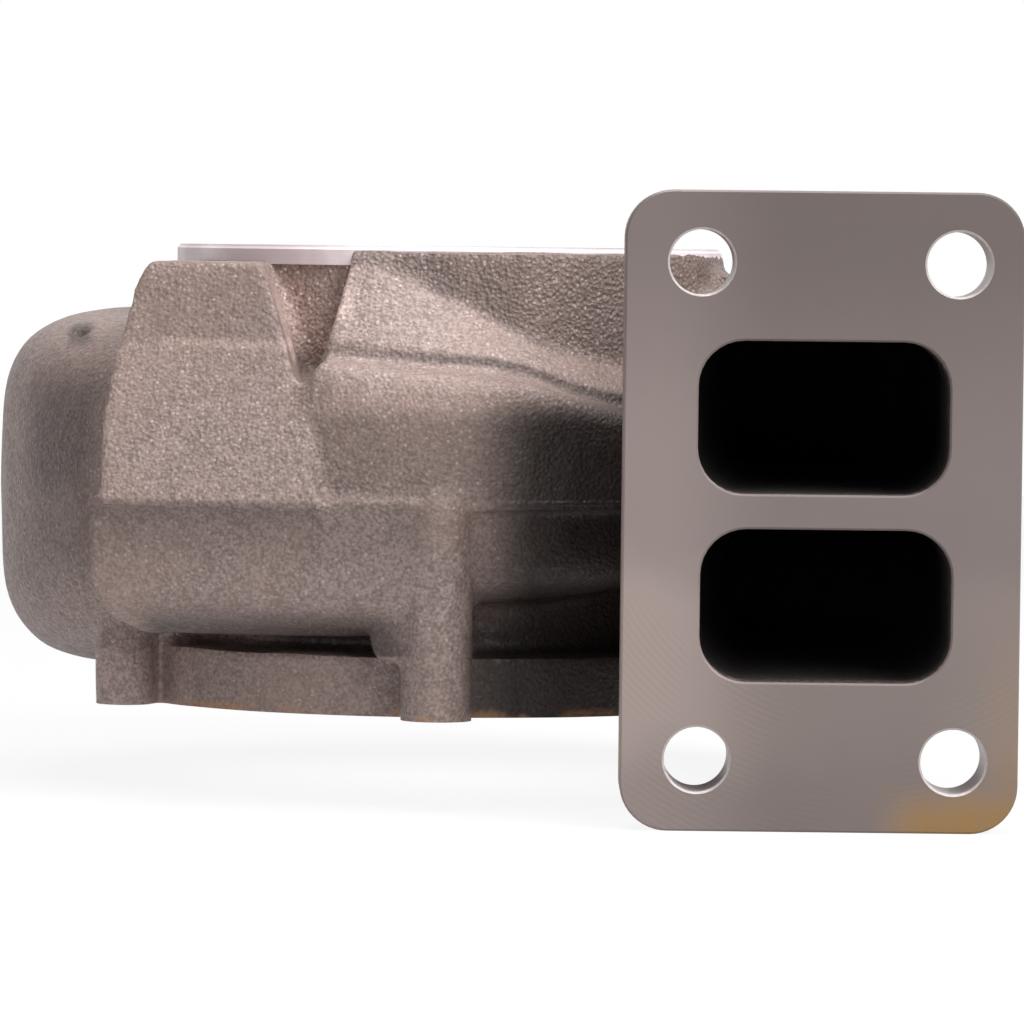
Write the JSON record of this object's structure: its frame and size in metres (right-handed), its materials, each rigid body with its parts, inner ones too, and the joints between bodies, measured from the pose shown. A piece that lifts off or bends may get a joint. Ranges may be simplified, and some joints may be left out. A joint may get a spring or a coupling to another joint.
{
  "type": "turbocharger turbine housing",
  "caption": "Twin-entry scroll casting in iron that carries exhaust gas round a turbine wheel, with a rectangular inlet flange, a round outlet ring and a bored bearing side.",
  "frame": {"origin": "middle of the bolt pattern on the inlet flange's machined face, on the wall between the two ports", "axes": "-Y out of the inlet flange, so gas enters along +Y; +Z out of the turbine outlet, parallel to the turbine axis, which passes through x -0.0653, y 0.1; +X to the right of a viewer who faces the flange"},
  "size_m": [0.1807, 0.1895, 0.1084],
  "materials": {
    "cast_iron": "sand-cast skin with machined joint faces"
  },
  "bodies": {
    "root": {"turbine_housing": "cast_iron"}
  },
  "joints": []
}
